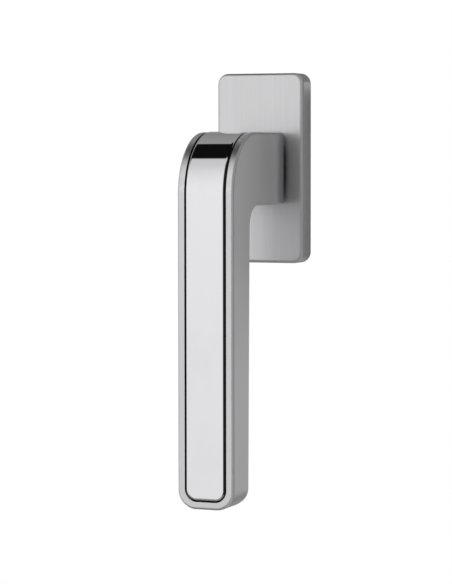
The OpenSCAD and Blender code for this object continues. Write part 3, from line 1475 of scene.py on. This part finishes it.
@dataclass
class FixingScrews(SubAssembly):
    """The two countersunk machine screws that hold the rose to the sash."""

    spacing: float = 43.0 * MM
    sides: int = 24

    # head
    head: float = 4.6 * MM
    rim_side: float = 0.02 * MM  # the rim's draw-in over its height
    rim_height: float = 0.12 * MM
    chamfer: float = 0.15 * MM
    socket: float = 1.75 * MM
    socket_depth: float = 2.2 * MM
    socket_sides: int = 6

    # shank and thread
    shank: float = 2.2 * MM
    root: float = 2.05 * MM
    crest: float = 2.45 * MM
    pitch: float = 0.8 * MM
    thread_start: float = 9.3 * MM
    run_in: float = 0.2 * MM  # step from the shank down to the thread's root

    # one turn of the thread: share of the pitch, and share of the way from root to crest
    profile: tuple[Point2, ...] = ((0.0, 0.0), (0.375, 1.0), (0.5, 1.0), (0.875, 0.0))

    def __post_init__(self) -> None:
        """Takes the screws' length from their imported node."""
        low, high = (Vector(corner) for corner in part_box("fixing_screws"))
        self.top, self.end = low.y, high.y

    def _ring(
        self, shape: Shape, radius: float, depth: float, z: float, corners: int = 0
    ) -> list[int]:
        """Adds a round or many-sided ring about one screw's axis.

        Args:
            shape: the mesh that takes the ring.
            radius: circle radius, or the corner radius of a many-sided ring.
            depth: place along Y.
            z: height of the screw's axis.
            corners: number of corners, or 0 for a circle.

        Returns:
            The ring's point numbers.
        """
        places = []
        for i in range(self.sides):
            a = 2 * math.pi * i / self.sides
            r = radius
            if corners:
                half = math.pi / corners
                r *= math.cos(half) / math.cos((a % (2 * half)) - half)
            places.append(Vector((r * math.cos(a), depth, z + r * math.sin(a))))
        return shape.loop(places)

    def _thread(self, shape: Shape, z: float) -> None:
        """Winds the thread round one screw, run out at both ends.

        Args:
            shape: the mesh that takes the thread.
            z: height of the screw's axis.
        """
        laps = range(-1, int((self.end - self.thread_start) / self.pitch) + 1)
        marks = [(lap + part, rise) for lap in laps for part, rise in self.profile]
        columns = []
        for i in range(self.sides + 1):
            a = 2 * math.pi * i / self.sides
            column = []
            for turns, rise in marks:
                y = self.thread_start + self.pitch * (turns + i / self.sides)
                y = min(max(y, self.thread_start), self.end)
                fade = min((y - self.thread_start) / self.pitch, (self.end - y) / self.pitch, 1.0)
                r = self.root + (self.crest - self.root) * rise * fade
                column.append(Vector((r * math.cos(a), y, z + r * math.sin(a))))
            columns.append(shape.loop(column))
        for low, high in zip(columns, columns[1:]):
            for j in range(len(low) - 1):
                shape.faces.append((low[j], low[j + 1], high[j + 1], high[j]))

    def _screw(self, shape: Shape, z: float) -> None:
        """Adds one screw to the mesh, from its socket out over the head and down to its point.

        Args:
            shape: the mesh that takes the screw.
            z: height of the screw's axis.
        """
        top, under = self.top, self.top + self.head - self.shank
        steps = (
            (self.socket, top + self.socket_depth, self.socket_sides),
            (self.socket, top + self.chamfer, self.socket_sides),
            (self.socket + self.chamfer, top, self.socket_sides),
            (self.head - self.chamfer, top, 0),
            (self.head - self.rim_side, top + self.rim_height, 0),
            (self.shank, under, 0),
            (self.shank, self.thread_start - self.run_in, 0),
            (self.root, self.thread_start, 0),
        )
        rings = [self._ring(shape, radius, depth, z, corners) for radius, depth, corners in steps]
        shape.skin(rings)
        shape.cap(rings[0])
        self._thread(shape, z)
        shape.cap(self._ring(shape, self.root, self.end, z))

    def build(self) -> None:
        """Makes and dresses both screws."""
        shape = Shape()
        for sign in (-1, 1):
            self._screw(shape, sign * self.spacing / 2)
        thing = shape.put("machine_screws")
        polish(thing)
        self.dress(thing, self.palette.by_slot[Slot.PLATED])
        self.add(thing, Body.BASE, Slot.PLATED, "fixing_screws")


# ---------------------------------------------------------------------------------------------
# Studio
# ---------------------------------------------------------------------------------------------


@dataclass(frozen=True)
class StageSheet:
    """A flat matt sheet that belongs to the studio.

    Args:
        name: its name.
        dark: its darkest grey.
        light: its lightest grey.
        roughness: roughness of its surface.
        scale: how fine its mottling is, per metre.
        detail: how many finer layers lie in the mottling.
    """

    name: str
    dark: float
    light: float
    roughness: float
    scale: float
    detail: float

    def put(self, corners: Iterable[Point3]) -> bpy.types.Object:
        """Lays the sheet and gives it its matt, mottled material.

        Args:
            corners: its corners, in order.

        Returns:
            The sheet.
        """
        shape = Shape()
        shape.cap(shape.loop(Vector(corner) for corner in corners))
        thing = shape.put(self.name)
        material = bpy.data.materials.new(self.name)
        material.use_nodes = True
        graph = Graph(material.node_tree)
        shader = material.node_tree.nodes["Principled BSDF"]
        shader.inputs["Roughness"].default_value = self.roughness
        mottle = graph.noise(self.scale, self.detail)
        color = graph.mix_color(mottle, (self.dark,) * 3, (self.light,) * 3)
        graph.link(color, shader.inputs["Base Color"])
        thing.data.materials.append(material)
        return thing


@dataclass(frozen=True)
class Studio:
    """Camera, surround, soft lamp, dark card and floor.

    Angles are in degrees.
    """

    # camera
    eye: Point3 = (0.3268, -0.8356, 0.0059)
    turn: float = 22.37
    tilt: float = 3.33
    roll: float = -0.07
    lens: float = 147.945
    sensor: float = 36.0
    sight: Point2 = (0.01, 20.0)  # nearest and farthest that it sees

    # soft lamp at the front right
    lamp_place: Point3 = (0.7, -0.75, -0.25)
    lamp_side: float = 0.8
    lamp_power: float = 3.5

    # dark card behind the rose: corners as (x, z), and its distance behind the mounting plane
    card: tuple[Point2, ...] = (
        (0.021, -0.08), (0.025, -0.08), (0.040, -0.035), (0.040, 0.03), (0.021, 0.03),
    )
    card_y: float = 0.036

    # floor
    floor_z: float = -0.32
    floor_radius: float = 0.34

    # brightness of the surround by angle up from straight ahead, over the top and down behind
    rise: tuple[Point2, ...] = (
        (-180, 0.54), (-172, 0.47), (-165, 0.43), (-145, 0.30), (-115, 0.05), (-50, 0.05),
        (-32, 0.45), (-20, 0.73), (-10, 0.80), (0, 0.88), (17, 0.87), (29, 0.825), (41, 0.765),
        (53, 0.66), (68, 0.60), (69.5, 0.005), (105.5, 0.005), (107, 0.32), (132, 0.27),
        (150, 0.24), (168, 0.36), (180, 0.52),
    )
    # share of that brightness by bearing to the right of straight ahead
    sweep: tuple[Point2, ...] = (
        (-180, 1.0), (-3, 1.0), (8, 0.5), (16, 0.2), (26, 0.05), (50, 0.015), (105, 0.015),
        (120, 0.4), (140, 1.0), (180, 1.0),
    )
    steep: Point2 = (0.75, 0.95)  # how steep a direction is where the sweep fades out
    left: Point2 = (-0.75, -0.95)  # how far left it is where the surround turns to plain grey
    left_grey: float = 0.8

    def camera(self) -> None:
        """Sets up the camera."""
        data = bpy.data.cameras.new("studio_camera")
        data.lens = self.lens
        data.sensor_width = self.sensor
        data.clip_start, data.clip_end = self.sight
        thing = bpy.data.objects.new("studio_camera", data)
        bpy.context.scene.collection.objects.link(thing)
        turn, tilt = math.radians(self.turn), math.radians(self.tilt)
        level = math.cos(tilt)
        aim = Vector((-math.sin(turn) * level, math.cos(turn) * level, -math.sin(tilt)))
        thing.location = self.eye
        thing.rotation_mode = "QUATERNION"
        upright = aim.to_track_quat("-Z", "Y")
        thing.rotation_quaternion = Quaternion(-aim, math.radians(self.roll)) @ upright
        bpy.context.scene.camera = thing

    @staticmethod
    def _round(
        graph: Graph,
        aside: bpy.types.NodeSocket,
        ahead: bpy.types.NodeSocket,
        table: Sequence[Point2],
    ) -> bpy.types.NodeSocket:
        """Reads a table by the angle of a direction from straight ahead.

        Args:
            graph: the surround's graph.
            aside: the direction's part at right angles to straight ahead.
            ahead: its part straight ahead.
            table: angles from -180 to 180 degrees and what they give.

        Returns:
            What the angle gives.
        """
        angle = graph.math(Op.ANGLE, aside, ahead)
        place = graph.math(Op.ADD, graph.math(Op.DIVIDE, angle, 2 * math.pi), 0.5)
        return graph.curve(place, [((degrees + 180) / 360, grey) for degrees, grey in table])

    def surround(self) -> None:
        """Lights the room: a bright screen in front, a dark gap above it and grey all round."""
        world = bpy.data.worlds.new("studio_surround")
        world.use_nodes = True
        bpy.context.scene.world = world
        graph = Graph(world.node_tree)
        background = world.node_tree.nodes["Background"]
        place = graph.add("ShaderNodeTexCoord")
        split = graph.add("ShaderNodeSeparateXYZ")
        graph.link(place.outputs["Generated"], split.inputs["Vector"])
        x, y, z = split.outputs
        ahead = graph.math(Op.MULTIPLY, y, -1.0)
        rise = self._round(graph, z, ahead, self.rise)
        sweep = self._round(graph, x, ahead, self.sweep)
        steep = graph.remap(graph.math(Op.SIZE, z), *self.steep)
        shade = graph.math(Op.MULTIPLY, rise, graph.mix(steep, sweep, 1.0))
        shade = graph.mix(graph.remap(x, *self.left), shade, self.left_grey)
        ray = graph.add("ShaderNodeLightPath")
        shown = graph.mix(ray.outputs["Is Camera Ray"], shade, 1.0)
        graph.link(shown, background.inputs["Color"])

    def lamp(self) -> None:
        """Adds a soft lamp at the front right, for whatever scatters light."""
        data = bpy.data.lights.new("soft_key", "AREA")
        data.shape, data.size, data.size_y = "RECTANGLE", self.lamp_side, self.lamp_side
        data.energy = self.lamp_power
        lamp = bpy.data.objects.new("soft_key", data)
        lamp.location = self.lamp_place
        lamp.rotation_mode = "QUATERNION"
        lamp.rotation_quaternion = (-Vector(self.lamp_place)).to_track_quat("-Z", "Y")
        lamp.visible_glossy = False
        bpy.context.scene.collection.objects.link(lamp)

    def flag(self) -> None:
        """Stands a dark card behind the rose's right side, out of the camera's sight."""
        sheet = StageSheet(
            "dark_flag", dark=0.02, light=0.04, roughness=1.0, scale=300.0, detail=2.0
        )
        card = sheet.put((x, self.card_y, z) for x, z in self.card)
        card.visible_camera = False

    def floor(self) -> None:
        """Lays a plain pale floor below the handle."""
        sheet = StageSheet(
            "pale_floor", dark=0.86, light=0.9, roughness=0.9, scale=12.0, detail=3.0
        )
        sheet.put((x, y, self.floor_z) for x, y in circle((0, 0), self.floor_radius, 96))

    def build(self) -> None:
        """Sets the scene."""
        bpy.context.scene.view_settings.view_transform = "Standard"
        self.camera()
        self.surround()
        self.lamp()
        self.flag()
        self.floor()


def main() -> None:
    """Loads the frame, sets the studio and builds the handle, one sub-assembly after another."""
    logging.basicConfig(level=logging.INFO, format="%(name)s: %(message)s")
    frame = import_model()
    Studio().build()
    palette = Finishes().build()
    Rose(palette).build(frame["nodes"])
    FixingScrews(palette).build()
    Lever(palette).build(frame["nodes"])


if __name__ == "__main__":
    main()
